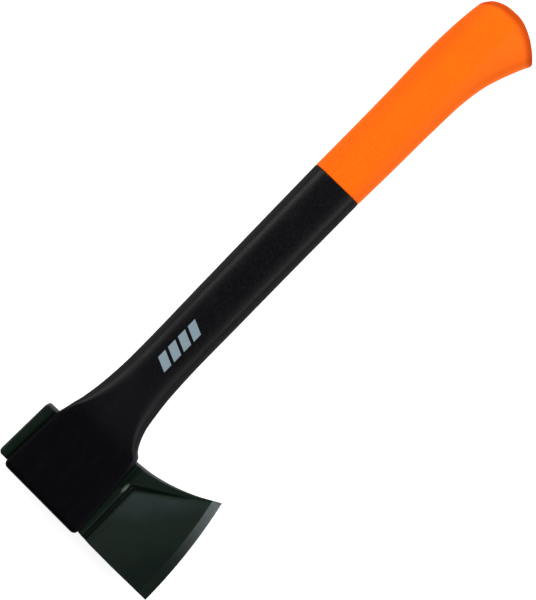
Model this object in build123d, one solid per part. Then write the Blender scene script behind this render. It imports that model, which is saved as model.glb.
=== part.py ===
from build123d import *
import math
import os

# One-handed hatchet: a forged steel head held in the moulded housing of a hollow glass-filled nylon handle,
# with a soft grip moulded over the handle's end.
#
# Frame, in millimetres: +X runs along the handle from the head to the butt, +Y points to the poll and -Y to the
# cutting edge, +Z up. The axe lies on the flat cheek of its housing, on z = 0. The origin is on that cheek, under
# the point where the handle's axis crosses the head. Everything is drawn about the mid-plane and lifted at the end.

# Whole axe
OVERALL_LENGTH = 360.0
CROWN_X = -24.0                       # end of the housing beyond the head
BUTT_X = CROWN_X + OVERALL_LENGTH
HOUSING_HALF = 15.0                   # half thickness of the housing, the thickest part of the axe
FAR = 60.0                            # clear of the axe's middle on every side

# Head: the cutting edge is an arc and the blade is turned about its centre
EDGE_RADIUS = 310.0
EDGE_CENTRE = (-20.0, 229.7)
EDGE_HALF = 0.1                       # half thickness left at the very edge
BEVEL_WIDTH = 5.0
BEVEL_HALF = 1.3                      # half thickness where the ground bevel starts
BLADE_DEPTH = 50.0                    # the thin blade runs this far in from the edge
BLADE_ROOT_HALF = 6.925               # half thickness there

# Head: outline in plan
TOE_X, HEEL_X = -23.5, 41.9
BEARD = [(35.0, -61.3), (29.7, -47.8), (27.0, -37.2), (25.7, -26.0)]
CROWN_LINE = [(-21.5, -28.0), (-22.6, -38.0), (-23.2, -55.0)]
POLL_LEFT, POLL_RIGHT = (-20.0, 30.6), (16.4, 29.5)
POLL_CHAMFER = 1.2
WAIST_Y = (17.0, -21.0)               # the waist that the housing grips lies between these
WAIST_X = (-19.5, 16.4)
WAIST_NOTCH = 3.0                     # depth of the hollow in either side of the waist
LOCK_HOLES = [(-9.0, 6.0), (7.0, -9.0)]
LOCK_HOLE_RADIUS = 4.0

# Head: half thickness at points along Y, from the poll to where the raised cheek runs down into the blade
POLL_HALF = 11.5
WEDGE = [(31.0, POLL_HALF), (21.0, POLL_HALF), (17.0, 8.5), (-21.0, 8.5), (-26.0, 9.3), (-31.5, 9.3), (-64.0, 2.1)]

# Head: panel sunk into each side of the blade, with walls that flare at 45 degrees
PANEL_TOP = (-35.1, 6.05)             # y and half thickness of its floor at the top
PANEL_END = (-63.2, 2.2)              # the same where its edge runs out over the beard
PANEL_TOP_X, PANEL_END_X = 14.3, 33.4
PANEL_WALL = 10.0
PANEL_FLARE = -45
PANEL_REACH = 3.0                     # the cutter runs on past the beard to this many times the edge's length

# Housing in plan, starting at the crown on the blade's side; it ends where the neck begins
HOUSING_CORNERS = [(-23.9, -29.2), (27.0, -25.9), (27.0, 19.7), (16.4, 22.3), (-22.7, 24.1)]
HOUSING_CORNER_RADIUS = 3.0
HOUSING_EDGE_RADIUS = 2.5

# Handle: rounded rectangles across X, as x, lowest y, highest y, half thickness, corner radius
NECK_SECTIONS = [
    (27.0, -25.9, 19.7, 14.95, 2.6),
    (36.0, -19.6, 17.7, 14.35, 4.6),
    (45.0, -17.3, 16.4, 13.4, 6.2),
    (54.0, -16.1, 15.5, 12.5, 7.6),
    (63.0, -15.3, 15.0, 11.8, 8.5),
    (72.0, -14.9, 14.9, 11.4, 9.0),
]
SHAFT_SECTIONS = [
    (72.0, -14.9, 14.9, 11.4, 9.0),
    (117.0, -14.9, 15.0, 11.0, 9.2),
    (162.0, -15.2, 15.1, 11.0, 9.3),
    (206.0, -15.7, 15.1, 11.3, 9.6),
]

# Grip: ovals across X, as x, lowest y, highest y, half thickness
GRIP_SECTIONS = [
    (206.0, -15.7, 15.1, 11.3),
    (229.0, -16.5, 14.9, 11.6),
    (252.0, -17.2, 14.7, 11.8),
    (275.0, -18.1, 14.8, 12.0),
    (298.0, -21.1, 14.6, 12.3),
    (321.0, -30.0, 13.2, 13.0),
    (344.0, -41.0, 11.0, 13.8),
]
OVAL_POWER = 2.9                      # squareness of the ovals: 2 would be an ellipse
OVAL_POINTS = 16
SEAM_X = 206.0                        # where the grip sleeve begins
BUTT_CURVE = [(312.0, -43.0), (322.5, -30.7), (332.4, -17.5), (BUTT_X, -5.0), (332.6, 8.0), (322.0, 16.0)]
BUTT_EDGE_RADIUS = 2.5

# Inside the grip
SLEEVE_WALL = 3.0
CORE_WALL = 3.2
CORE_END_X = 318.0
BORE_START = (72.0, -6.0, 6.0, 3.8)   # small end of the hollow, as an oval
GROOVES = [(217.0, 7.7), (240.0, 7.9), (263.0, 8.1)]  # x of the cross grooves, and their floor's half thickness
GROOVE_WIDTH = 5.0
PLUG_LENGTH = 16.0                    # how far the plug reaches into the hollow


def across_x(x, low, high):
    """The plane across the handle at x, centred between low and high; its own X is the handle's Y."""
    return Plane(origin=(x, (low + high) / 2, 0), x_dir=(0, 1, 0), z_dir=(1, 0, 0))


def rounded(x, low, high, half, radius):
    """A rounded rectangle across the handle."""
    return across_x(x, low, high) * RectangleRounded(high - low, 2 * half, radius)


def oval(x, low, high, half):
    """A superellipse across the handle."""
    points = []
    for k in range(OVAL_POINTS):
        turn = 2 * math.pi * k / OVAL_POINTS
        across = math.copysign(abs(math.cos(turn)) ** (2 / OVAL_POWER), math.cos(turn))
        up = math.copysign(abs(math.sin(turn)) ** (2 / OVAL_POWER), math.sin(turn))
        points.append(((high - low) / 2 * across, half * up))
    return across_x(x, low, high) * make_face(Spline(*points, periodic=True))


def grip_inset(wall):
    """The grip's ovals, smaller by the wall all round."""
    return [oval(x, low + wall, high - wall, half - wall) for x, low, high, half in GRIP_SECTIONS]


def slab(x_from, x_to):
    """Everything between two planes across X."""
    return Pos((x_from + x_to) / 2, 0, 0) * Box(x_to - x_from, 2 * FAR, 2 * FAR)


def doubled(half):
    """The closed outline made by points of half thickness and their mirror images."""
    return make_face(Polyline(*half, *[(along, -z) for along, z in reversed(half)], close=True))


def on_edge(x):
    """The point of the cutting edge at x."""
    return (x, EDGE_CENTRE[1] - math.sqrt(EDGE_RADIUS**2 - (x - EDGE_CENTRE[0]) ** 2))


def head_outline():
    """The head seen from its side: edge arc, beard, waist, poll and crown line."""
    top, bottom = WAIST_Y
    left, right = WAIST_X
    middle = (top + bottom) / 2
    toe, heel = on_edge(TOE_X), on_edge(HEEL_X)
    throat = (BEARD[-1][0], bottom)
    lines = [
        ThreePointArc(toe, on_edge((TOE_X + HEEL_X) / 2), heel),
        Spline(heel, *BEARD),
        Polyline(BEARD[-1], throat, (right, bottom)),
        ThreePointArc((right, bottom), (right - WAIST_NOTCH, middle), (right, top)),
        Polyline((right, top), POLL_RIGHT, POLL_LEFT, (POLL_LEFT[0], top), (left, top)),
        ThreePointArc((left, top), (left + WAIST_NOTCH, middle), (left, bottom)),
        Line((left, bottom), CROWN_LINE[0]),
        Spline(*CROWN_LINE, toe),
    ]
    return make_face(lines)


def panel_cutter():
    """What is sunk from the upper cheek: a prism standing on the panel's floor, flared outwards."""
    tilt = math.atan2(PANEL_TOP[1] - PANEL_END[1], PANEL_TOP[0] - PANEL_END[0])
    floor = Plane(
        origin=(0, *PANEL_TOP),
        x_dir=(1, 0, 0),
        z_dir=(0, -math.sin(tilt), math.cos(tilt)),
    )
    run = PANEL_REACH * (PANEL_END[0] - PANEL_TOP[0]) / math.cos(tilt)
    end_x = PANEL_TOP_X + PANEL_REACH * (PANEL_END_X - PANEL_TOP_X)
    outline = Polyline((-FAR, 0), (PANEL_TOP_X, 0), (end_x, run), (-FAR, run), close=True)
    return extrude(floor * make_face(outline), PANEL_WALL, taper=PANEL_FLARE)


def blade():
    """The thin blade and its ground bevel, turned about the centre of the edge's arc."""
    root = (EDGE_RADIUS - BLADE_DEPTH, BLADE_ROOT_HALF)
    bevel = (EDGE_RADIUS - BEVEL_WIDTH, BEVEL_HALF)
    edge = (EDGE_RADIUS, EDGE_HALF)
    across = Plane(origin=(*EDGE_CENTRE, 0), x_dir=(1, 0, 0), z_dir=(0, -1, 0))
    return revolve(across * doubled([root, bevel, edge]), Axis((*EDGE_CENTRE, 0), (0, 0, 1)))


def axe_head():
    """The forged head: poll, waist with its two lock holes, raised cheeks and blade."""
    side = Plane(origin=(-FAR, 0, 0), x_dir=(0, 1, 0), z_dir=(1, 0, 0))
    wedge = extrude(side * doubled(WEDGE), 2 * FAR)
    cutter = panel_cutter()
    forging = wedge - cutter - mirror(cutter, Plane.XY) + blade()
    head = forging & extrude(head_outline(), POLL_HALF, both=True)
    for x, y in LOCK_HOLES:
        head -= Pos(x, y, 0) * Cylinder(LOCK_HOLE_RADIUS, 2 * POLL_HALF)
    striking_face = head.faces().sort_by(Axis.Y)[-1]
    return chamfer(striking_face.edges(), POLL_CHAMFER)


def housing():
    """The block of nylon around the head's waist, with its corners and rims rounded."""
    outline = make_face(Polyline(*HOUSING_CORNERS, close=True))
    crown_corners = outline.vertices().sort_by(Axis.X)[:2]
    block = extrude(fillet(crown_corners, HOUSING_CORNER_RADIUS), HOUSING_HALF, both=True)
    cheeks = block.faces().filter_by(Axis.Z)
    rims = cheeks.edges().filter_by(lambda e: e.center().X < NECK_SECTIONS[0][0])
    return fillet(rims, HOUSING_EDGE_RADIUS)


def handle_outside():
    """Housing, neck and shaft as one solid."""
    neck = loft([rounded(*section) for section in NECK_SECTIONS])
    shaft = loft([rounded(*section) for section in SHAFT_SECTIONS])
    return housing() + neck + shaft


def head_side_of_butt():
    """Everything on the head's side of the curved butt."""
    first, last = BUTT_CURVE[0], BUTT_CURVE[-1]
    back_x = SEAM_X - SLEEVE_WALL
    rest = Polyline(last, (back_x, last[1]), (back_x, first[1]), first)
    return extrude(make_face([Spline(*BUTT_CURVE), rest]), FAR, both=True)


def grip_outside():
    """The whole grip end as one solid, cut to the curve of the butt and rounded there."""
    body = loft(grip_inset(0)) & head_side_of_butt()
    rim = body.edges().filter_by(lambda e: e.bounding_box().min.X > CORE_END_X)
    return fillet(rim, BUTT_EDGE_RADIUS)


def inside_of_sleeve():
    """The core and the plug's domed cap as one solid, with cross grooves above and below that lock the sleeve."""
    body = loft(grip_inset(SLEEVE_WALL)) & (Pos(-SLEEVE_WALL, 0, 0) * head_side_of_butt())
    bar = Box(GROOVE_WIDTH, 2 * FAR, 2 * FAR)
    for x, floor_half in GROOVES:
        body -= [Pos(x, 0, floor_half + FAR) * bar, Pos(x, 0, -floor_half - FAR) * bar]
    return body


head = axe_head()
inside = inside_of_sleeve()
core = inside & slab(SEAM_X, CORE_END_X)
cap = inside & slab(CORE_END_X, BUTT_X)

bore_ovals = grip_inset(SLEEVE_WALL + CORE_WALL)
core_bore = loft(bore_ovals) & slab(SEAM_X, CORE_END_X)
shaft_bore = loft([oval(*BORE_START), bore_ovals[0]])

plug = cap + (core_bore & slab(CORE_END_X - PLUG_LENGTH, CORE_END_X))
handle = handle_outside() + core - shaft_bore - core_bore - head
sleeve = grip_outside() - inside

os.makedirs("parts", exist_ok=True)
nodes = {"axe_head": head, "handle_shell": handle, "grip_sleeve": sleeve, "end_plug": plug}
for name, shape in nodes.items():
    export_step(Pos(0, 0, HOUSING_HALF) * shape, f"parts/{name}.step")
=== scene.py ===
import math

import bpy
import numpy as np
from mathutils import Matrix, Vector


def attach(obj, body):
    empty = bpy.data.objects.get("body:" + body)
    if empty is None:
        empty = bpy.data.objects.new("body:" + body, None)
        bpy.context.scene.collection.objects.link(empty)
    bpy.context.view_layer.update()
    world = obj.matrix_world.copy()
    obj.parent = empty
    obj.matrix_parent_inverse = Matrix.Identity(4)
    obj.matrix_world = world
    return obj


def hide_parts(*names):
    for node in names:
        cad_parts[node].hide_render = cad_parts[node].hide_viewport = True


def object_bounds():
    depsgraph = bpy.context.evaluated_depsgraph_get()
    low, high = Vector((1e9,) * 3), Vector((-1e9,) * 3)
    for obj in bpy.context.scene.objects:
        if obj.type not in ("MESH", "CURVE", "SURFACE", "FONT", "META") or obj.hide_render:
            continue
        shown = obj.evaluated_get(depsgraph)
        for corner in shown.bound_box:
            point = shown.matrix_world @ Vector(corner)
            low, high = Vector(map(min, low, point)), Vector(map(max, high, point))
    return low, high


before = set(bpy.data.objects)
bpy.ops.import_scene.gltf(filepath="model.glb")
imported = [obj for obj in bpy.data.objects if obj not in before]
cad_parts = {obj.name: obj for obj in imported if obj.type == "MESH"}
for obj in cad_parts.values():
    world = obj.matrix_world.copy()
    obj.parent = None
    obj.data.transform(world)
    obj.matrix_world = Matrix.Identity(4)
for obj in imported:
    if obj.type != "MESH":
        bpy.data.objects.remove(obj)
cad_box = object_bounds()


# Head. One steel forging: a square hammer poll, a waist that the handle is moulded round, raised cheeks, and a thin
# bearded blade sunk below them. It is coated dark green, then the cutting edge is ground on both sides.
# Lengths in this file are in millimetres until skin() turns them into metres.
MIDDLE = 1000 * (cad_box[1].z + cad_box[0].z) / 2  # height of the plane that the whole axe is symmetric about


def curve(at, knots, values):
    """Values at the places asked for on a smooth curve through the knots: a cubic between each two knots, whose slopes
    at the knots are those of the neighbouring values."""
    knots, values = np.asarray(knots, float), np.asarray(values, float)
    slopes = np.gradient(values, knots)
    i = np.clip(np.searchsorted(knots, at) - 1, 0, len(knots) - 2)
    width = knots[i + 1] - knots[i]
    t = (at - knots[i]) / width
    start = (1 + 2 * t) * (1 - t) ** 2 * values[i] + t * (1 - t) ** 2 * width * slopes[i]
    end = t**2 * (3 - 2 * t) * values[i + 1] - t**2 * (1 - t) * width * slopes[i + 1]
    return start + end


def soft_min(a, b, blend):
    """The lesser of two heights, with the corner where they cross rounded over the blend length by a parabola."""
    t = np.clip(0.5 + 0.5 * (b - a) / blend, 0, 1)
    return b + (a - b) * t - blend * t * (1 - t)


def soft_max(a, b, blend):
    """The greater of two heights, rounded where they cross."""
    return -soft_min(-a, -b, blend)


def rounding(radius, steps):
    """For an end whose rim is a quarter round: how far each row lies behind the end, and how far it is drawn in."""
    turn = np.linspace(0, math.pi / 2, steps)
    return radius * (1 - np.cos(turn)), radius * (1 - np.sin(turn))


def round_off(radius, behind):
    """How far a quarter round of that radius is drawn in, that far behind its end."""
    return radius - np.sqrt(radius**2 - np.clip(radius - behind, 0, radius) ** 2)


class Ring:
    """The points round one section, the same for every station. Each has a turn round its corner's arc, and its place
    between the corners, from -1 to 1, across and up. It starts at the upper left and runs clockwise."""

    def __init__(self, arc, flat, side):
        """arc is the steps in half a corner, flat the places along the upper and lower run, side those up the sides."""
        half = np.linspace(0, math.pi / 4, arc, endpoint=False)
        one = np.ones(arc)
        upper = [math.pi * 0.75 - half, np.full(len(flat), math.pi / 2), (math.pi / 2 - half)[1:], [math.pi / 4]]
        upper_across = [-one, flat, one[1:], [1]]
        right = [(math.pi / 4 - half)[1:], np.zeros(len(side)), -half[1:]]
        right_up = [one[1:], side, -one[1:]]
        turn, across = np.concatenate(upper), np.concatenate(upper_across)
        side_turn, side_up = np.concatenate(right), np.concatenate(right_up)
        self.columns = len(turn)
        self.turn = np.concatenate([turn, side_turn, turn - math.pi, side_turn - math.pi])
        self.across = np.concatenate([across, np.ones(len(side_turn)), -across, -np.ones(len(side_turn))])
        self.up = np.concatenate([np.ones(len(turn)), side_up, -np.ones(len(turn)), -side_up])

    def corner(self, power):
        """How far each point reaches across and up within its corner: a superellipse of that power, 2 for a circle."""
        cos, sin = np.cos(self.turn), np.sin(self.turn)
        return np.sign(cos) * np.abs(cos) ** (2 / power), np.sign(sin) * np.abs(sin) ** (2 / power)

    def rim(self):
        """1 in the middle of each corner's arc, falling to 0 where it meets the flats."""
        return np.abs(np.sin(2 * self.turn))

    def side(self):
        """1 on the two sides and 0 on the upper and lower runs."""
        return np.cos(self.turn) ** 2


def end_patch(loop, columns):
    """The points inside an end loop, on a grid: each blends the loop's four sides, less its four corners (a Coons
    patch). Returns them as rows from the upper run to the lower one, and the index of every point of the grid."""
    count = len(loop)
    side = count // 2 - columns
    top = np.arange(columns)
    right = columns + np.arange(side)
    bottom = (count // 2 + np.arange(columns))[::-1]
    left = (count // 2 + columns + np.arange(side))[::-1]
    u = np.linspace(0, 1, columns)[None, 1:-1, None]
    v = np.linspace(0, 1, side + 2)[1:-1, None, None]
    ruled = (1 - v) * loop[top][None, 1:-1] + v * loop[bottom][None, 1:-1]
    ruled = ruled + (1 - u) * loop[left][:, None] + u * loop[right][:, None]
    upper = (1 - u) * loop[top[0]] + u * loop[top[-1]]
    lower = (1 - u) * loop[bottom[0]] + u * loop[bottom[-1]]
    inside = ruled - (1 - v) * upper - v * lower
    index = np.empty((side + 2, columns), int)
    index[0], index[-1] = top, bottom
    index[1:-1, 0], index[1:-1, -1] = left, right
    index[1:-1, 1:-1] = count + np.arange(side * (columns - 2)).reshape(side, columns - 2)
    return inside.reshape(-1, 3), index


def quads(index):
    """The quads of a grid of point indices."""
    return np.stack([index[:-1, :-1], index[1:, :-1], index[1:, 1:], index[:-1, 1:]], -1).reshape(-1, 4)


def closed_skin(loops, columns):
    """The points and quads of a closed surface through loops, (stations, points, 3): a band of quads joins each loop
    to the next, and a patch fills the first and the last."""
    stations, count = loops.shape[:2]
    body = np.arange(stations * count).reshape(stations, count)
    faces = [quads(np.hstack([body, body[:, :1]]))]
    points = [loops.reshape(-1, 3)]
    total = stations * count
    for station, flip in ((0, -1), (stations - 1, 1)):
        inside, index = end_patch(loops[station], columns)
        where = np.concatenate([body[station], total + np.arange(len(inside))])
        faces.append(quads(where[index])[:, ::flip])
        points.append(inside)
        total += len(inside)
    return np.concatenate(points), np.concatenate(faces)


def skin(name, points, faces, slot, material, **masks):
    """Makes the object from points and quads in millimetres, smooth all over, with that material, and says that it
    rides on the root body. The slot is not used. Each mask, (stations, points), is an attribute, and is 0 on the ends."""
    mesh = bpy.data.meshes.new(name)
    mesh.from_pydata((points / 1000).tolist(), [], faces.tolist())
    for mask, values in masks.items():
        padded = np.zeros(len(points), np.float32)
        padded[: values.size] = values.ravel()
        mesh.attributes.new(mask, "FLOAT", "POINT").data.foreach_set("value", padded)
    mesh.shade_smooth()
    mesh.validate()
    mesh.materials.append(material)
    piece = bpy.data.objects.new(name, mesh)
    bpy.context.scene.collection.objects.link(piece)
    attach(piece, "root")
    return piece


class Wire:
    """An output of a material's nodes. Arithmetic between wires, or with a number, adds a Math node."""

    def __init__(self, tree, socket):
        self.tree, self.socket = tree, socket

    def node(self, kind, settings, inputs, output=0):
        """Adds a node of that type: its settings first, then the values or wires of its sockets."""
        made = self.tree.nodes.new(kind)
        for key, value in settings.items():
            setattr(made, key, value)
        for key, value in inputs.items():
            if isinstance(value, Wire):
                self.tree.links.new(value.socket, made.inputs[key])
            else:
                made.inputs[key].default_value = value
        return Wire(self.tree, made.outputs[output])

    def math(self, operation, first=None, second=0.0):
        """A Math node on two values, or on this wire alone."""
        return self.node("ShaderNodeMath", {"operation": operation}, {0: self if first is None else first, 1: second})

    def __add__(self, other):
        return self.math("ADD", self, other)

    def __radd__(self, other):
        return self.math("ADD", other, self)

    def __sub__(self, other):
        return self.math("SUBTRACT", self, other)

    def __rsub__(self, other):
        return self.math("SUBTRACT", other, self)

    def __mul__(self, other):
        return self.math("MULTIPLY", self, other)

    def __rmul__(self, other):
        return self.math("MULTIPLY", other, self)

    def __truediv__(self, other):
        return self.math("DIVIDE", self, other)

    def __pow__(self, other):
        return self.math("POWER", self, other)

    def mask(self, name):
        """A mask that the mesh carries."""
        return self.node("ShaderNodeAttribute", {"attribute_name": name}, {}, "Fac")

    def axis(self, letter):
        """One coordinate of a place."""
        return self.node("ShaderNodeSeparateXYZ", {}, {0: self}, "XYZ".index(letter))

    def grade(self, low, high):
        """0 below low, 1 above high, and a smooth rise between; low may be the greater."""
        ends = {"From Min": low, "From Max": high}
        if low > high:
            ends = {"From Min": high, "From Max": low, "To Min": 1.0, "To Max": 0.0}
        return self.node("ShaderNodeMapRange", {"interpolation_type": "SMOOTHSTEP"}, {"Value": self, **ends})

    def grain(self, size, detail=2.0, stretch=(1, 1, 1), rough=0.5):
        """Noise with features of about that size in millimetres, drawn out along an axis where stretch is small."""
        place = self.node("ShaderNodeMapping", {}, {"Vector": self, "Scale": [s * 1000 / size for s in stretch]})
        inputs = {"Vector": place, "Scale": 1.0, "Detail": detail, "Roughness": rough}
        return self.node("ShaderNodeTexNoise", {}, inputs)

    def blend(self, first, second):
        """A colour between two, by this wire."""
        settings = {"data_type": "RGBA"}
        return self.node("ShaderNodeMix", settings, {0: self, 6: first, 7: second}, 2)

    def raised(self, depth, upon=None):
        """A normal bumped by this wire, where 1 stands depth millimetres above 0."""
        inputs = {"Height": self, "Distance": depth / 1000, "Strength": 1.0}
        if upon is not None:
            inputs["Normal"] = upon
        return self.node("ShaderNodeBump", {}, inputs)


def finish(name, **fixed):
    """A material with one Principled shader, whose sockets that are the same all over are given here. Returns it and
    the place on the object."""
    material = bpy.data.materials.new(name)
    material.use_nodes = True
    tree = material.node_tree
    shader = tree.nodes["Principled BSDF"]
    for socket, value in fixed.items():
        shader.inputs[socket.replace("_", " ")].default_value = value
    return material, Wire(tree, tree.nodes.new("ShaderNodeTexCoord").outputs["Object"])


def paint(material, **wires):
    """Leads wires to the sockets of a material's shader."""
    tree = material.node_tree
    for socket, wire in wires.items():
        tree.links.new(wire.socket, tree.nodes["Principled BSDF"].inputs[socket.replace("_", " ")])


EDGE_CENTRE, EDGE_RADIUS = (-20.0, 229.7), 310.0  # the arc of the cutting edge
TOE_Y, HEEL_Y, EDGE_SAG = -80.3, -74.1, 1.74  # its ends, and how far it stands out from the line between them
BEVEL_WIDTH, BEVEL_HALF, EDGE_HALF = 5.0, 1.3, 0.1  # the ground bevel's width, and half thickness at its two sides
BLADE_SLOPE = 0.133  # how the blade thickens inwards from the bevel
BLADE_HOLLOW, HOLLOW_LENGTH = 0.35, 42  # and how deep and how long it is hollowed
# The forging's half thickness, its crown's end and its hidden waist by the distance down from the handle's axis, and
# the beard's end by its Y.
WEDGE_DOWN, WEDGE_HALF = [-21, -17, 21, 26, 31.5, 64, 90], [11.5, 8.5, 8.5, 9.3, 9.3, 2.1, -3.6]
CROWN_DOWN = [-22, -17, 21, 26, 28, 38, 55, 80.3]
CROWN_X = [-20, -19.5, -19.5, -21.4, -21.5, -22.6, -23.2, -23.5]
WAIST_DOWN, WAIST_X = [-22, -17, 2, 21, 24], [16.4, 16.4, 13.4, 16.4, 25.7]
BEARD_Y, BEARD_X = [-74.1, -61.3, -47.8, -37.2, -26, -10], [41.9, 35.0, 29.7, 27.0, 25.7, 25.6]
POLL_Y, POLL_RISE = 30.6, 1.1  # the poll's face at the crown's end, and how far it has dropped at the handle's end
POLL_ROUND = 1.2  # the round along the poll's rims
POLL_CORNERS = (2.6, 1.6)  # the rounds of its corners, seen from the side, at the crown and at the handle
RIM_ROUND = 0.9  # the round along the blade's rims
PANEL_Y, PANEL_X = -35.1, 14.3  # the corner of the sunk panel
PANEL_EDGE = (0.8270, 0.5621)  # across the panel's slanting edge, towards the beard
PANEL_RISE = 0.78  # how steeply its walls rise
PANEL_DISH, DISH_WIDTH = 0.0012, 14  # how its floor curves up to the slanting wall, and from how far away
PANEL_TOP, CHEEK_TOP = -28.5, -27.0  # nothing above these belongs to the panel's walls, or to the blade
CHEEK_SHADE = 0.6  # how much of the walls' painted shade the cheek beyond the slanting wall has
FOLD, FOLD_SPAN = 0.45, 0.16  # where the grid is gathered along the slanting edge, and how widely


def in_from_edge(x, y):
    """Distance in from the cutting edge, which is an arc: its radius less the distance from its centre."""
    return EDGE_RADIUS - np.hypot(x - EDGE_CENTRE[0], y - EDGE_CENTRE[1])


def head_half(x, y):
    """Half thickness of the head, and masks of the panel's walls and of its floor. The blade thickens inwards from
    the bevel and is hollow by half a sine wave. The panel's floor is dished towards its slanting edge, and its two
    walls rise from its top and slanting edges, up to the wedge-shaped forging around it."""
    wedge = np.interp(-y, WEDGE_DOWN, WEDGE_HALF)
    inward = in_from_edge(x, y)
    bevel = EDGE_HALF + inward * (BEVEL_HALF - EDGE_HALF) / BEVEL_WIDTH
    hollow = BLADE_HOLLOW * np.sin(math.pi * np.clip((inward - BEVEL_WIDTH) / HOLLOW_LENGTH, 0, 1))
    blade = soft_min(bevel, BEVEL_HALF + (inward - BEVEL_WIDTH) * BLADE_SLOPE - hollow, 0.12)
    above = soft_max(y - PANEL_Y, 0, 0.8)
    slant = (x - PANEL_X) * PANEL_EDGE[0] + (y - PANEL_Y) * PANEL_EDGE[1]
    beyond = soft_max(slant, 0, 1.2)
    dish = PANEL_DISH * np.clip(slant + DISH_WIDTH, 0, DISH_WIDTH + 2) ** 2
    panel = blade + dish + PANEL_RISE * (above**4 + beyond**4) ** 0.25
    half = np.where(y > CHEEK_TOP, wedge, soft_max(blade, soft_min(wedge, panel, 0.7), 0.4))
    risen = np.clip((wedge - panel) / 0.4 + 1, 0, 1)
    wall = np.clip((y - PANEL_Y) / 0.9 + 1, 0, 1) * risen
    wall = np.maximum(wall, np.clip(slant / 0.8, 0, 1) * (CHEEK_SHADE + (1 - CHEEK_SHADE) * risen))
    sunk = np.clip(-0.5 - np.maximum(y - PANEL_Y, slant + 0.5), 0, 1)
    return half, np.where(y > PANEL_TOP, 0, wall), sunk


def head_loops(ring):
    """Loops round the head, from the poll's face to the cutting edge. A row crosses the head from the crown's end to
    the beard's: straight at the poll, and bending to the edge's arc down the blade. Its points stand at the half
    thickness there, with the rims rounded by a quarter circle."""
    behind, _ = rounding(POLL_CORNERS[0], 9)
    crown_y = np.concatenate([
        POLL_Y - behind,
        np.linspace(27.4, 22, 5),
        [21, 17, 10, -2, -14, -21, -24],
        np.linspace(-26, -31, 13),
        np.linspace(-31.2, -36, 24),
        np.linspace(-36.6, -74.6, 64),
        np.linspace(-74.95, -75.65, 5),
        np.linspace(-76.1, TOE_Y, 9),
    ])
    drawn_in, crown_in, beard_in = (round_off(radius, POLL_Y - crown_y) for radius in (POLL_ROUND, *POLL_CORNERS))
    drop = np.interp(crown_y, [17, 22], [0, POLL_RISE])
    beard_y = np.where(crown_y > -35, crown_y - drop, np.interp(-crown_y, [35, 75.3, -TOE_Y], [-35, -69.5, HEEL_Y]))
    crown_x = np.interp(-crown_y, CROWN_DOWN, CROWN_X) + crown_in
    waist_x = np.interp(-beard_y, WAIST_DOWN, WAIST_X)
    beard_x = np.where(beard_y > -24, waist_x, curve(beard_y, BEARD_Y, BEARD_X)) - beard_in
    sag = np.interp(-crown_y, [35, -TOE_Y], [0, EDGE_SAG])

    thin = np.interp(-crown_y, [35, 70, -TOE_Y], [1, 0.5, 0.05])
    rim = (np.where(crown_y > 0, POLL_ROUND, RIM_ROUND) * thin)[:, None]
    reach, lift = ring.corner(2)
    half = (beard_x - crown_x)[:, None] / 2
    middle = (beard_x + crown_x)[:, None] / 2
    panel_x = PANEL_X + np.maximum(PANEL_Y - crown_y, 0) * 0.68
    fold = np.clip((panel_x - (crown_x + beard_x) / 2) / half[:, 0], -0.2, 0.8)[:, None]
    along = np.where(ring.across < FOLD, (ring.across + 1) / (FOLD + 1) * (fold + 1) - 1,
                     fold + (ring.across - FOLD) / (1 - FOLD) * (1 - fold))
    x = middle + along * (half - rim) + reach * rim
    share = (x - crown_x[:, None]) / (beard_x - crown_x)[:, None]
    y = crown_y[:, None] + share * (beard_y - crown_y)[:, None] - 4 * share * (1 - share) * sag[:, None]
    thick, wall, sunk = head_half(x, y)
    z = ring.up * (thick - drawn_in[:, None] - rim) + lift * rim
    return np.stack([x, y, MIDDLE + z], -1), wall, sunk


head_places = np.concatenate([
    np.linspace(-1, FOLD - FOLD_SPAN, 44, endpoint=False),
    np.linspace(FOLD - FOLD_SPAN, FOLD + FOLD_SPAN, 34, endpoint=False),
    np.linspace(FOLD + FOLD_SPAN, 1, 22),
])
head_ring = Ring(5, head_places, np.linspace(1, -1, 5))
head_rows, panel_wall, panel_floor = head_loops(head_ring)
head_points, head_faces = closed_skin(head_rows, head_ring.columns)

# The coat in turn: its own green, painted paler on the cheeks as painted light, a painted sheen on the panel's floor,
# painted shade on its walls and beside the housing, a painted highlight at the panel's corner and a paler painted
# highlight along the poll's rim, and scuffed.
CORNER_GLINT, GLINT_SQUEEZE = (0.0124, -0.0313), 0.32  # the painted highlight's middle in metres, and its squeeze along X
SHARP = 0.00015  # half the width in metres of a sharp change of colour
coated_steel, place = finish("coated_steel", Specular_IOR_Level=0.20)
x, y = place.axis("X"), place.axis("Y")
inward = EDGE_RADIUS / 1000 - ((x - EDGE_CENTRE[0] / 1000) ** 2 + (y - EDGE_CENTRE[1] / 1000) ** 2) ** 0.5
ground = inward.grade(BEVEL_WIDTH / 1000 + SHARP, BEVEL_WIDTH / 1000 - SHARP)
cloud = place.grain(14, 3)
speck = place.grain(0.35, 2)
coat = cloud.grade(0.35, 0.65).blend((0.0056, 0.0116, 0.0080, 1), (0.0072, 0.0138, 0.0098, 1))
# painted light: the coat below the housing, on the cheeks, is painted paler
coat = y.grade(-0.020, -0.028).blend(coat, (0.0112, 0.0225, 0.0158, 1))
# painted sheen: the panel's floor is painted dark at its lower left and bright grey towards the slanting wall
sheen_ramp = x + y * 1.15 + (cloud - 0.5) * 0.020
painted_sheen = sheen_ramp.grade(-0.100, -0.056).blend((0.0032, 0.0080, 0.0058, 1), (0.0092, 0.0160, 0.0120, 1))
painted_sheen = sheen_ramp.grade(-0.058, -0.026).blend(painted_sheen, (0.0245, 0.0360, 0.0350, 1))
coat = place.mask("sunk").blend(coat, painted_sheen)
coat = (speck.grade(0.58, 0.72) * 0.5).blend(coat, (0.016, 0.024, 0.021, 1))
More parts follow.
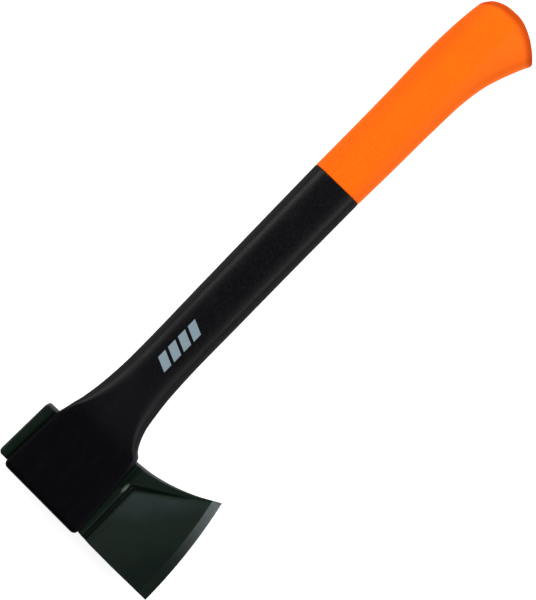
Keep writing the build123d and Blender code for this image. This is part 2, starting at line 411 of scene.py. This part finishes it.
# painted shade: the panel's walls, and less so the cheek beyond the slanting wall, are painted nearly black
coat = (place.mask("wall") * 0.80).blend(coat, (0.0008, 0.0022, 0.0014, 1))
# painted shade: the poll and the blade's side are painted darker where they meet the housing
poll_painted_shade = (y + x * 0.045).grade(0.0256, 0.0238) * y.grade(0, 0.001)
blade_painted_shade = (y - x * 0.055).grade(-0.0291, -0.0283) * y.grade(0.001, 0)
coat = ((poll_painted_shade + blade_painted_shade) * 0.75).blend(coat, (0.0008, 0.0018, 0.0013, 1))
# painted highlight: a bright spot at the panel's corner
from_glint = (((x - CORNER_GLINT[0]) * GLINT_SQUEEZE) ** 2 + (y - CORNER_GLINT[1]) ** 2) ** 0.5
coat = from_glint.grade(0.0013, 0.0004).blend(coat, (0.130, 0.146, 0.138, 1))
# painted highlight: a paler band along the poll's outer rim
coat = (y.grade(0.0288, 0.0296) * 0.7).blend(coat, (0.018, 0.028, 0.023, 1))
scuffs = place.grain(2.5, 4, (1, 1, 1), 0.7).grade(0.60, 0.75)
worn = place.mask("edge").grade(0.4, 1.0) * scuffs
coat = (worn * 0.6).blend(coat, (0.16, 0.17, 0.165, 1))
strokes = place.grain(0.30, 2, (1, 0.06, 1))
# painted highlight: the ground bevel is painted dark towards the toe and bright grey towards the heel
bevel_highlight = x.grade(-0.020, 0.046)
bevel_highlight = bevel_highlight * bevel_highlight * (strokes.grade(0.3, 0.7) * 0.35 + 0.80)
steel = bevel_highlight.blend((0.014, 0.022, 0.017, 1), (0.20, 0.225, 0.23, 1))
paint(
    coated_steel,
    Base_Color=ground.blend(coat, steel),
    Metallic=ground * 0.6 + worn * 0.4,
    Roughness=cloud * 0.05 + speck * 0.06 + 0.20 + place.mask("side") * 0.5 - place.mask("wall") * 0.10,
    Normal=(strokes * ground * 0.6 + speck * 0.3).raised(0.02, cloud.raised(0.10)),
)
stations = np.ones((len(head_rows), 1))
head = skin("head", head_points, head_faces, "coated_steel", coated_steel,
            edge=stations * head_ring.rim(), side=stations * head_ring.side(), wall=panel_wall, sunk=panel_floor)
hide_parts("axe_head")


# Handle. Black glass-filled nylon, injection moulded in one shot round the waist of the head: a square housing, a
# neck that narrows out of it, and a hollow shaft whose inner end runs on as a core under the grip.
HOUSING_ROUND = (3.0, 1.8)  # the crown's end is rounded in plan and through its thickness by these
CROWN_SLANT, END_ROUND = 1.2, 0.6  # how far the crown's end leans back at the poll's side, and the seam end's round
HANDLE_X = [-24, -2.7, 10.5, 16.4, 22, 26.2, 27.5, 29.1, 31.5, 34.5, 39.8, 50.4, 61, 71.7, 117, 162, 206]
HANDLE_LOW = [-29.2, -28.4, -27.5, -27.0, -26.4, -25.9, -25.2, -23.4, -21.7, -20.2, -18.3, -16.5, -15.4, -14.9, -14.9,
              -15.2, -15.7]
HANDLE_HIGH = [24.1, 23.1, 22.5, 22.3, 20.9, 19.9, 19.6, 19.1, 18.5, 17.9, 17.0, 15.8, 15.1, 14.9, 15.0, 15.1, 15.1]
HANDLE_HALF = [15, 15, 15, 15, 15, 15, 14.98, 14.9, 14.75, 14.5, 13.95, 12.85, 11.95, 11.4, 11.0, 11.0, 11.3]
CORNER_ACROSS = [1.6, 1.6, 1.6, 1.7, 2.0, 2.4, 2.7, 3.2, 4.0, 4.9, 6.4, 9.4, 11.3, 12.7, 13.2, 13.3, 13.4]
CORNER_UP = [1.6, 1.6, 1.6, 1.7, 2.0, 2.3, 2.6, 3.0, 3.7, 4.4, 5.6, 7.7, 8.8, 9.4, 9.7, 9.8, 9.9]
CORNER_POWER = [2, 2, 2, 2, 2, 2, 2, 2, 2, 2.05, 2.15, 2.35, 2.5, 2.6, 2.6, 2.6, 2.6]
SEAM_X, CORE_END_X, BORE_X = 206.0, 318.0, 72.0
SLEEVE_WALL, CORE_WALL = 3.0, 3.2
BORE_END = 0.64  # the size of the hollow's blind end against its last loop under the seam
GRIP_CORNERS = (13.4, 9.9, 2.6)  # its corners' reach across and up, and their power
GRIP_LENGTHS = (122.8, 117.0)  # from the seam to the butt, on the poll's side and on the blade's side
GRIP_X = [206, 228, 263, 285, 298, 304.4, 310.8, 317.2, 323, 329]
GRIP_HIGH = [15.1, 14.8, 14.6, 14.8, 14.6, 14.3, 13.9, 13.3, 12.6, 11.7]
GRIP_LOW = [-15.7, -16.5, -17.5, -18.8, -21.1, -23.1, -25.5, -28.2, -30.9, -33.7]
GRIP_HALF = [11.3, 11.6, 11.9, 12.1, 12.3, 12.5, 12.7, 12.9, 13.0, 13.1]


def section(ring, low, high, half, corner_across, corner_up, power, inset=0.0):
    """Across and up for the points of each station's ring: four superelliptic corners joined by straight runs, the
    whole drawn in by the inset."""
    low, high, half, corner_across, corner_up, power, inset = (
        np.reshape(value, (len(value), -1)) if np.ndim(value) else value
        for value in (low, high, half, corner_across, corner_up, power, inset)
    )
    wide, tall = (high - low) / 2 - inset, half - inset
    round_across = np.clip(corner_across - inset, 0.5, 0.95 * wide)
    round_up = np.clip(corner_up - inset, 0.5, 0.95 * tall)
    reach, lift = ring.corner(power)
    across = (low + high) / 2 + ring.across * (wide - round_across) + reach * round_across
    return across, ring.up * (tall - round_up) + lift * round_up


def handle_outside(ring):
    """Loops along the handle from the crown to the seam, where its end is broken by a small round."""
    behind, drawn_in = rounding(1.0, 7)
    end_behind, end_in = rounding(1.0, 4)
    x = np.concatenate([
        -23.9 + HOUSING_ROUND[0] * behind,
        np.linspace(-20, 15, 12),
        np.linspace(16.4, 26, 9),
        np.linspace(26.4, 36, 26),
        np.linspace(37, 72, 30),
        np.linspace(74, 205, 50),
        (SEAM_X - END_ROUND * end_behind)[::-1],
    ])
    drawn = np.zeros(len(x))
    drawn[: len(drawn_in)] = drawn_in
    drawn[-len(end_in):] = end_in[::-1]
    crown = np.arange(len(x)) < len(drawn_in)
    inset_across, inset_up = (drawn * np.where(crown, radius, END_ROUND) for radius in HOUSING_ROUND)
    low, high, half = (curve(x, HANDLE_X, side) for side in (HANDLE_LOW, HANDLE_HIGH, HANDLE_HALF))
    corners = [curve(x, HANDLE_X, side) for side in (CORNER_ACROSS, CORNER_UP, CORNER_POWER)]
    half = np.minimum(half, HANDLE_HALF[0]) - inset_up
    across, up = section(ring, low + inset_across, high - inset_across, half, *corners)
    share = (across - HANDLE_LOW[0]) / (HANDLE_HIGH[0] - HANDLE_LOW[0])
    slant = CROWN_SLANT * share * np.clip(-x / 20, 0, 1)[:, None]
    return np.stack([x[:, None] + slant, across, MIDDLE + up], -1)


def core_loops(ring, x, inset):
    """Loops across the grip's own sections, drawn in by a wall: the core's outside, and the hollow inside it."""
    low, high, half = (curve(x, GRIP_X, side) for side in (GRIP_LOW, GRIP_HIGH, GRIP_HALF))
    across, up = section(ring, low, high, half, *GRIP_CORNERS, inset)
    return np.stack([np.broadcast_to(x[:, None], across.shape), across, MIDDLE + up], -1)


handle_ring = Ring(8, np.linspace(-1, 1, 19), np.array([1, 0.5, 0.04, 0, -0.04, -0.5, -1]))
core_x = np.linspace(SEAM_X, CORE_END_X, 15)
core = core_loops(handle_ring, core_x, SLEEVE_WALL)
hollow = core_loops(handle_ring, core_x[::-1], SLEEVE_WALL + CORE_WALL)
blind_end = [BORE_X, 0, MIDDLE] + (hollow[-1] - [0, 0, MIDDLE]) * [0, BORE_END, BORE_END]
handle_loops = np.concatenate([handle_outside(handle_ring), core, hollow, blind_end[None]])
handle_points, handle_faces = closed_skin(handle_loops, handle_ring.columns)

PRINT_X, PRINT_PITCH, PRINT_LEAN = 0.0722, 0.0075, 60.0  # the printed row: its start, its pitch, and its lean
PRINT_Y, PRINT_TALL, PRINT_LONG = 0.0003, 0.0040, 0.0147  # its middle, and half its height and length, in metres
black_nylon, place = finish("black_nylon", Specular_IOR_Level=0.12)
pebble = place.grain(1.1, 3, (1, 1, 1), 0.6)
flow = place.grain(22, 3, (0.35, 1, 1))
smear = place.grain(6, 4, (0.5, 1, 1), 0.6).grade(0.45, 0.75)
# painted shade: the smooth housing is painted darker than the pebbled shaft
pebbled_and_lit = place.axis("X").grade(0.020, 0.110)
shaded_smooth_black = flow.grade(0.35, 0.65).blend((0.0011, 0.0010, 0.0022, 1), (0.0018, 0.0016, 0.0032, 1))
pebbled_black = pebble.grade(0.35, 0.70).blend((0.0020, 0.0020, 0.0028, 1), (0.0056, 0.0055, 0.0065, 1))
nylon = (pebbled_and_lit * 0.9 + 0.1).blend(shaded_smooth_black, pebbled_black)
neck = place.axis("X").grade(0.090, 0.050) * place.axis("X").grade(0.022, 0.034)
# painted shade: the rims near the housing are painted nearly black
rim = place.mask("edge").grade(0.05, 0.5) * place.axis("X").grade(0.026, 0.018)
nylon = (rim * 0.8).blend(nylon, (0.0004, 0.0004, 0.0006, 1))
ink_cell = ((place.axis("X") - PRINT_X) / PRINT_PITCH - place.axis("Y") * PRINT_LEAN).math("FRACT")
ink_row = (place.axis("Y") - PRINT_Y).math("ABSOLUTE").grade(PRINT_TALL + SHARP, PRINT_TALL - SHARP)
ink_span = ((place.axis("X") - PRINT_X - PRINT_LONG) - place.axis("Y") * PRINT_LEAN * PRINT_PITCH).math("ABSOLUTE")
ink = ink_cell.grade(0.02, 0.06) * ink_cell.grade(0.78, 0.74) * ink_row
ink = ink * ink_span.grade(PRINT_LONG, PRINT_LONG - 0.0002)
ink = ink * place.axis("Z").grade(MIDDLE / 1000, MIDDLE / 1000 + 0.001)
paint(
    black_nylon,
    Base_Color=(ink * 0.97).blend(nylon, pebble.blend((0.20, 0.27, 0.31, 1), (0.25, 0.33, 0.375, 1))),
    Roughness=pebble * 0.10 + smear * 0.06 + 0.33 + neck * 0.08 + rim * 0.5 + place.mask("side").grade(0.45, 0.9) * 0.4,
    Normal=pebble.raised(0.05, flow.raised(0.12)),
)
stations = np.ones((len(handle_loops), 1))
handle = skin("handle", handle_points, handle_faces, "black_nylon", black_nylon,
              edge=stations * handle_ring.rim(), side=stations * handle_ring.side())
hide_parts("handle_shell")


# End plug. A nylon moulding pressed into the hollow handle before the grip goes on; it keeps its own CAD shape and
# is out of sight.
plug_nylon, place = finish("plug_nylon", Specular_IOR_Level=0.4)
plug_grain = place.grain(0.6, 3)
paint(
    plug_nylon,
    Base_Color=plug_grain.blend((0.010, 0.010, 0.010, 1), (0.018, 0.018, 0.018, 1)),
    Roughness=plug_grain * 0.15 + 0.45,
    Normal=plug_grain.raised(0.05),
)
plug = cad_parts["end_plug"]
plug.data.materials.clear()
plug.data.materials.append(plug_nylon)


# Grip. A sleeve of orange thermoplastic elastomer, moulded over the core and the plug. It swells and hooks down at
# the butt, which ends in a bulging curve with a rounded rim.
BUTT_BULGE = ([0, 0.072, 0.186, 0.345, 0.491, 0.66, 0.877, 1], [0, 4.1, 7.5, 9.5, 9.9, 8.1, 3.5, 0])
BUTT_ROUND, SEAM_ROUND = 2.2, 0.5


def grip_loops(ring, share, inset, drawn_in=0.0, back=0.0, blunt=1.0):
    """Loops along the grip. At each share of its length a chord crosses it between its two outlines, and the loop
    bulges towards the butt by that share of the butt's own curve. Inset draws the loop in all round, drawn_in draws
    it in for the rim's round, and back moves it back from the butt. Blunt is each point's share of the last two."""
    share = np.asarray(share, float)[:, None]
    bulge = np.clip((share - 0.45) / 0.55, 0, 1) ** 2
    upper_x, lower_x = SEAM_X + GRIP_LENGTHS[0] * share, SEAM_X + GRIP_LENGTHS[1] * share
    upper_y, lower_y = curve(upper_x, GRIP_X, GRIP_HIGH), curve(lower_x, GRIP_X, GRIP_LOW)
    half = curve((upper_x + lower_x) / 2, GRIP_X, GRIP_HALF)
    chord = np.hypot(upper_x - lower_x, upper_y - lower_y)
    inset = np.reshape(inset, (-1, 1)) + np.reshape(drawn_in, (-1, 1)) * blunt
    across, up = section(ring, -chord / 2, chord / 2, half, *GRIP_CORNERS, inset)
    part = np.clip(0.5 - across / chord, 0, 1)
    out = bulge * curve(part, *BUTT_BULGE) - np.reshape(back, (-1, 1)) * blunt
    side = np.stack([upper_x - lower_x, upper_y - lower_y], -1) / chord[..., None]
    middle = np.stack([upper_x + lower_x, upper_y + lower_y], -1) / 2
    plan = middle + across[..., None] * side + out[..., None] * np.stack([side[..., 1], -side[..., 0]], -1)
    return np.concatenate([plan, (MIDDLE + up)[..., None]], -1)


grip_ring = Ring(8, np.linspace(-1, 1, 23), np.array([1, 0.5, 0, -0.5, -1]))
behind, drawn_in = rounding(1.0, 6)
lip_behind, lip_in = rounding(SEAM_ROUND, 4)
inner = grip_loops(grip_ring, np.linspace(0.96, 0, 16), SLEEVE_WALL, back=np.linspace(1, 0, 16) ** 3 * 3)
lip = grip_loops(grip_ring, lip_behind / GRIP_LENGTHS[0], 0, lip_in)
outer = grip_loops(grip_ring, np.linspace(0.012, 0.97, 78), 0)
blunt = 0.55 + 0.30 * grip_ring.across
end = grip_loops(grip_ring, np.ones(6), 0, BUTT_ROUND * drawn_in[::-1], BUTT_ROUND * behind[::-1], blunt)
grip_rows = np.concatenate([inner, lip, outer, end])
grip_points, grip_faces = closed_skin(grip_rows, grip_ring.columns)
# painted shade: a dark band round the butt's rounded rim, carried as the grip's edge mask
butt_rim_shade = np.zeros(grip_rows.shape[:2])
butt_rim_shade[-len(end) - 1:] = np.array([0.3, 1, 1, 1, 1, 0.8, 0.3])[:, None]

orange_elastomer, place = finish("orange_elastomer", Specular_IOR_Level=0.05)
skin_grain = place.grain(1.0, 3, (1, 1, 1), 0.6)
hue = place.grain(18, 3)
handled = place.grain(7, 4, (0.6, 1, 1), 0.6).grade(0.5, 0.8)
orange = hue.grade(0.3, 0.7).blend((0.92, 0.126, 0.0024, 1), (0.94, 0.138, 0.0026, 1))
orange = (handled * 0.25).blend(orange, (0.90, 0.120, 0.0030, 1))
orange = (skin_grain.grade(0.38, 0.66) * 0.70).blend(orange, (0.97, 0.172, 0.0045, 1))
# painted shade: the grip is painted darker and redder on the poll's side, more so towards the butt
poll_side = (place.axis("Y").grade(0.002, 0.012) * 0.85 + 0.15) * (place.axis("X").grade(0.21, 0.32) * 0.5 + 0.5)
orange = (poll_side * 0.9).blend(orange, (0.93, 0.098, 0.0024, 1))
# painted light: the grip is painted paler along the blade's side
orange = (place.axis("Y").grade(-0.008, -0.013) * 0.6).blend(orange, (0.96, 0.146, 0.0100, 1))
# painted shade: the butt's rounded rim is painted dark red
orange = (place.mask("edge").grade(0.1, 0.9) * 0.85).blend(orange, (0.44, 0.046, 0.0030, 1))
paint(
    orange_elastomer,
    Base_Color=orange,
    Roughness=skin_grain * 0.12 + handled * 0.08 + 0.60,
    Normal=skin_grain.raised(0.11, hue.raised(0.1)),
)
grip = skin("grip", grip_points, grip_faces, "orange_elastomer", orange_elastomer, edge=butt_rim_shade)
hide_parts("grip_sleeve")


# Floor, light and camera. A plain pale floor that glows a little, two long soft lights beside the handle, two small
# soft boxes towards the blade's side, and a camera straight above the middle of the axe.
FLOOR_Z, FLOOR_REACH = -0.0004, 6  # just below the housing's cheek, in metres
floor_mesh = bpy.data.meshes.new("floor")
floor_corners = [(FLOOR_REACH * i, FLOOR_REACH * j, FLOOR_Z) for i, j in ((-1, -1), (1, -1), (1, 1), (-1, 1))]
floor_mesh.from_pydata(floor_corners, [], [(0, 1, 2, 3)])
floor = bpy.data.objects.new("floor", floor_mesh)
bpy.context.scene.collection.objects.link(floor)
pale, place = finish(
    "pale_floor",
    Base_Color=(0.5, 0.5, 0.5, 1),
    Roughness=0.9,
    Specular_IOR_Level=0.0,
    Emission_Color=(1, 1, 1, 1),
    Emission_Strength=0.9,
)
floor_mesh.materials.append(pale)


def soft_light(name, at, size, power):
    """A rectangular light at a place in metres, turned to face the axe."""
    light = bpy.data.lights.new(name, "AREA")
    light.shape = "RECTANGLE"
    light.size, light.size_y = size
    light.energy = power
    lamp = bpy.data.objects.new(name, light)
    bpy.context.scene.collection.objects.link(lamp)
    aim = np.array([0.13, -0.02, 0.015])
    back = np.array(at) - aim
    tilt = math.atan2(math.hypot(back[0], back[1]), back[2])
    lamp.location = at
    lamp.rotation_euler = (tilt, 0, math.atan2(back[0], -back[1]))


soft_light("strip_poll_side", (0.66, 0.84, 0.84), (1.40, 0.34), 19.5)
soft_light("strip_blade_side", (0.66, -0.88, 0.84), (1.40, 0.34), 13.5)
soft_light("box_heel_side", (0.52, -0.72, 1.25), (0.45, 0.45), 1.5)
soft_light("box_toe_side", (-0.33, -0.61, 1.40), (0.25, 0.25), 0.4)

world = bpy.data.worlds.new("studio")
world.use_nodes = True
world.node_tree.nodes["Background"].inputs["Color"].default_value = (0.02, 0.02, 0.02, 1)
bpy.context.scene.world = world
bpy.context.scene.view_settings.view_transform = "Standard"

lens = bpy.data.cameras.new("camera")
lens.sensor_width, lens.lens = 36.0, 194.8
camera = bpy.data.objects.new("camera", lens)
bpy.context.scene.collection.objects.link(camera)
camera.location = (0.1364, -0.0165, 1.740)
camera.rotation_euler = (0, 0, math.radians(-46))
bpy.context.scene.camera = camera
